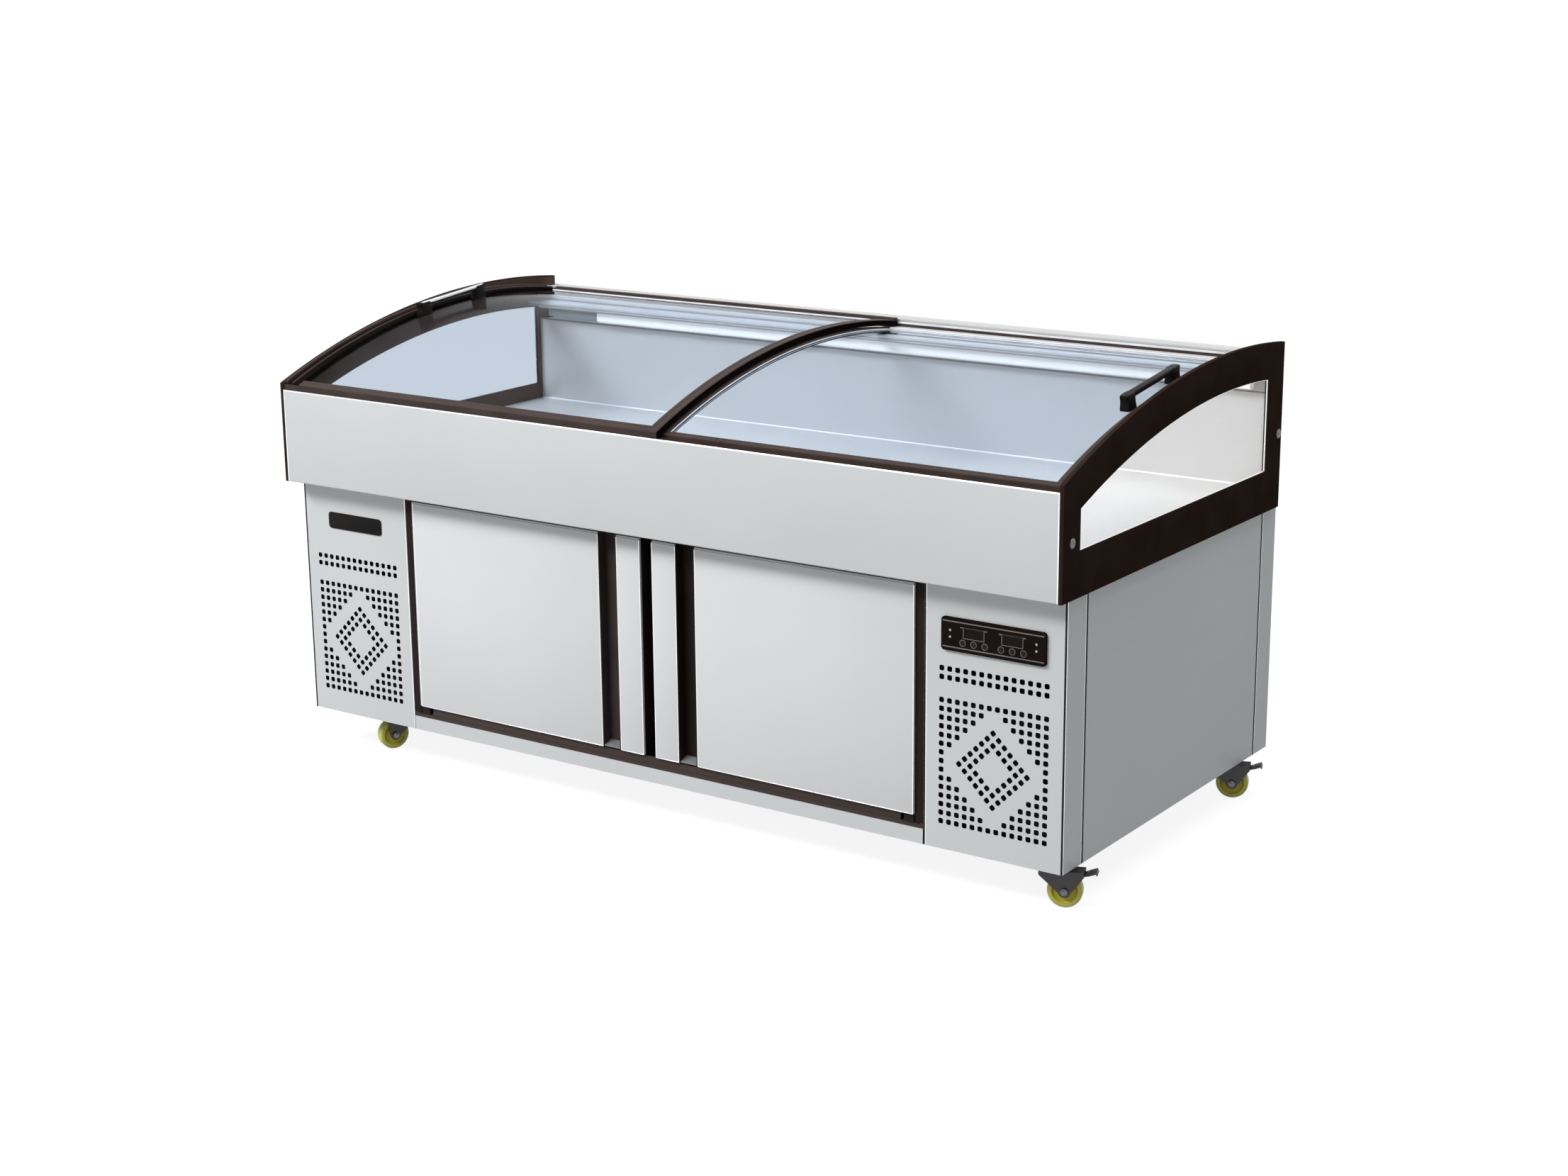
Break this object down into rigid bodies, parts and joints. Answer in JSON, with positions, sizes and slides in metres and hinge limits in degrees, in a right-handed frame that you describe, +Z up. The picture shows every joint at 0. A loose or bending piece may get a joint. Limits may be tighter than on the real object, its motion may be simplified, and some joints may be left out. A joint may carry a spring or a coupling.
{
  "type": "dual-temperature display case",
  "caption": "Chest display case on casters: a chilled basin under two sliding curved glass lids over a cold cupboard with two hinged doors and a machine bay at each end.",
  "frame": {"origin": "on the floor under the middle of the case", "axes": "+X along the length to the right as seen from the front, +Y to the rear, +Z up"},
  "size_m": [1.8264, 0.88, 0.9176],
  "materials": {
    "stainless": "brushed sheet",
    "zinc": "zinc plated pressing",
    "brown_frame": "moulded, semi gloss",
    "brown_lid": "extruded, satin",
    "black_plastic": "moulded, fine grain",
    "white_profile": "extruded, white coat",
    "clear_glass": "tempered, polished",
    "foam": "rigid foam",
    "seal": "soft magnetic seal",
    "lamp": "milky diffuser",
    "machine_black": "black enamel",
    "fins": "finned",
    "grey_sheet": "galvanised",
    "wheel_yellow": "cast, translucent",
    "display_window": "smoked window",
    "button_grey": "moulded, satin"
  },
  "bodies": {
    "case": {"back_panels": "stainless", "bottom_pan": "grey_sheet", "bottom_rail": "stainless", "cable_gland": "black_plastic", "caster_plates": "zinc", "compressors": "machine_black", "control_bezel": "black_plastic", "control_displays": "display_window", "corner_posts": "stainless", "display_basin": "stainless", "door_frame": "black_plastic", "door_hinges": "zinc", "end_bolts": "zinc", "end_glasses": "clear_glass", "fan_motors": "grey_sheet", "front_fascia": "stainless", "front_rail": "white_profile", "heat_exchangers": "fins", "insulation": "foam", "left_end_frame": "brown_frame", "left_grille": "stainless", "light_strip": "lamp", "name_plate": "stainless", "rear_beam": "white_profile", "right_end_frame": "brown_frame", "right_grille": "stainless", "side_panels": "stainless", "storage_liner": "stainless"},
    "left_lid": {"left_lid_frame": "brown_lid", "left_lid_glass": "clear_glass", "left_lid_handle": "black_plastic"},
    "right_lid": {"right_lid_frame": "brown_lid", "right_lid_glass": "clear_glass", "right_lid_handle": "black_plastic"},
    "right_door": {"right_door_skin": "stainless", "right_door_core": "foam", "right_door_grip": "black_plastic", "right_door_gasket": "seal"},
    "left_door": {"left_door_skin": "stainless", "left_door_core": "foam", "left_door_grip": "black_plastic", "left_door_gasket": "seal"},
    "right_fan_rotor": {"right_fan": "black_plastic"},
    "left_fan_rotor": {"left_fan": "black_plastic"},
    "front_left_caster": {"front_left_fork": "zinc"},
    "front_left_roller": {"front_left_wheel": "wheel_yellow"},
    "front_right_caster": {"front_right_fork": "zinc"},
    "front_right_roller": {"front_right_wheel": "wheel_yellow"},
    "front_right_brake": {"front_right_pedal": "zinc"},
    "rear_left_caster": {"rear_left_fork": "zinc"},
    "rear_left_roller": {"rear_left_wheel": "wheel_yellow"},
    "rear_right_caster": {"rear_right_fork": "zinc"},
    "rear_right_roller": {"rear_right_wheel": "wheel_yellow"},
    "rear_right_brake": {"rear_right_pedal": "zinc"},
    "key_1": {"button_1": "button_grey"},
    "key_2": {"button_2": "button_grey"},
    "key_3": {"button_3": "button_grey"},
    "key_4": {"button_4": "button_grey"},
    "key_5": {"button_5": "button_grey"},
    "key_6": {"button_6": "button_grey"}
  },
  "joints": [
    {"name": "left_lid_slide", "type": "slide", "parent": "case", "child": "left_lid", "axis": [1, 0, 0], "range_m": [0, 0.765]},
    {"name": "right_lid_slide", "type": "slide", "parent": "case", "child": "right_lid", "axis": [1, 0, 0], "range_m": [-0.765, 0]},
    {"name": "right_door_hinge", "type": "hinge", "parent": "case", "child": "right_door", "pos_m": [0.578, -0.394, 0.35], "axis": [0, 0, 1], "range_deg": [0, 105]},
    {"name": "left_door_hinge", "type": "hinge", "parent": "case", "child": "left_door", "pos_m": [-0.578, -0.394, 0.35], "axis": [0, 0, -1], "range_deg": [0, 105]},
    {"name": "right_fan_spin", "type": "hinge", "parent": "case", "child": "right_fan_rotor", "pos_m": [0.749, -0.311, 0.2265], "axis": [0, 1, 0], "continuous": true},
    {"name": "left_fan_spin", "type": "hinge", "parent": "case", "child": "left_fan_rotor", "pos_m": [-0.749, -0.311, 0.2265], "axis": [0, 1, 0], "continuous": true},
    {"name": "front_left_swivel", "type": "hinge", "parent": "case", "child": "front_left_caster", "pos_m": [-0.722, -0.314, 0.07], "axis": [0, 0, 1], "continuous": true},
    {"name": "front_left_roll", "type": "hinge", "parent": "front_left_caster", "child": "front_left_roller", "pos_m": [-0.73299, -0.33756, 0.0315], "axis": [0.9063, -0.4226, 0], "continuous": true},
    {"name": "front_right_swivel", "type": "hinge", "parent": "case", "child": "front_right_caster", "pos_m": [0.84, -0.35, 0.07], "axis": [0, 0, 1], "continuous": true},
    {"name": "front_right_roll", "type": "hinge", "parent": "front_right_caster", "child": "front_right_roller", "pos_m": [0.86443, -0.34111, 0.0315], "axis": [-0.342, 0.9397, 0], "continuous": true},
    {"name": "front_right_brake_press", "type": "hinge", "parent": "front_right_caster", "child": "front_right_brake", "pos_m": [0.89068, -0.33155, 0.05943], "axis": [-0.342, 0.9397, 0], "range_deg": [0, 12]},
    {"name": "rear_left_swivel", "type": "hinge", "parent": "case", "child": "rear_left_caster", "pos_m": [-0.722, 0.354, 0.07], "axis": [0, 0, 1], "continuous": true},
    {"name": "rear_left_roll", "type": "hinge", "parent": "rear_left_caster", "child": "rear_left_roller", "pos_m": [-0.73299, 0.33044, 0.0315], "axis": [0.9063, -0.4226, 0], "continuous": true},
    {"name": "rear_right_swivel", "type": "hinge", "parent": "case", "child": "rear_right_caster", "pos_m": [0.84, 0.333, 0.07], "axis": [0, 0, 1], "continuous": true},
    {"name": "rear_right_roll", "type": "hinge", "parent": "rear_right_caster", "child": "rear_right_roller", "pos_m": [0.86443, 0.34189, 0.0315], "axis": [-0.342, 0.9397, 0], "continuous": true},
    {"name": "rear_right_brake_press", "type": "hinge", "parent": "rear_right_caster", "child": "rear_right_brake", "pos_m": [0.89068, 0.35145, 0.05943], "axis": [-0.342, 0.9397, 0], "range_deg": [0, 12]},
    {"name": "key_1_press", "type": "slide", "parent": "case", "child": "key_1", "axis": [0, 1, 0], "range_m": [0, 0.0008], "stiffness_N_per_m": 300},
    {"name": "key_2_press", "type": "slide", "parent": "case", "child": "key_2", "axis": [0, 1, 0], "range_m": [0, 0.0008], "stiffness_N_per_m": 300},
    {"name": "key_3_press", "type": "slide", "parent": "case", "child": "key_3", "axis": [0, 1, 0], "range_m": [0, 0.0008], "stiffness_N_per_m": 300},
    {"name": "key_4_press", "type": "slide", "parent": "case", "child": "key_4", "axis": [0, 1, 0], "range_m": [0, 0.0008], "stiffness_N_per_m": 300},
    {"name": "key_5_press", "type": "slide", "parent": "case", "child": "key_5", "axis": [0, 1, 0], "range_m": [0, 0.0008], "stiffness_N_per_m": 300},
    {"name": "key_6_press", "type": "slide", "parent": "case", "child": "key_6", "axis": [0, 1, 0], "range_m": [0, 0.0008], "stiffness_N_per_m": 300}
  ]
}
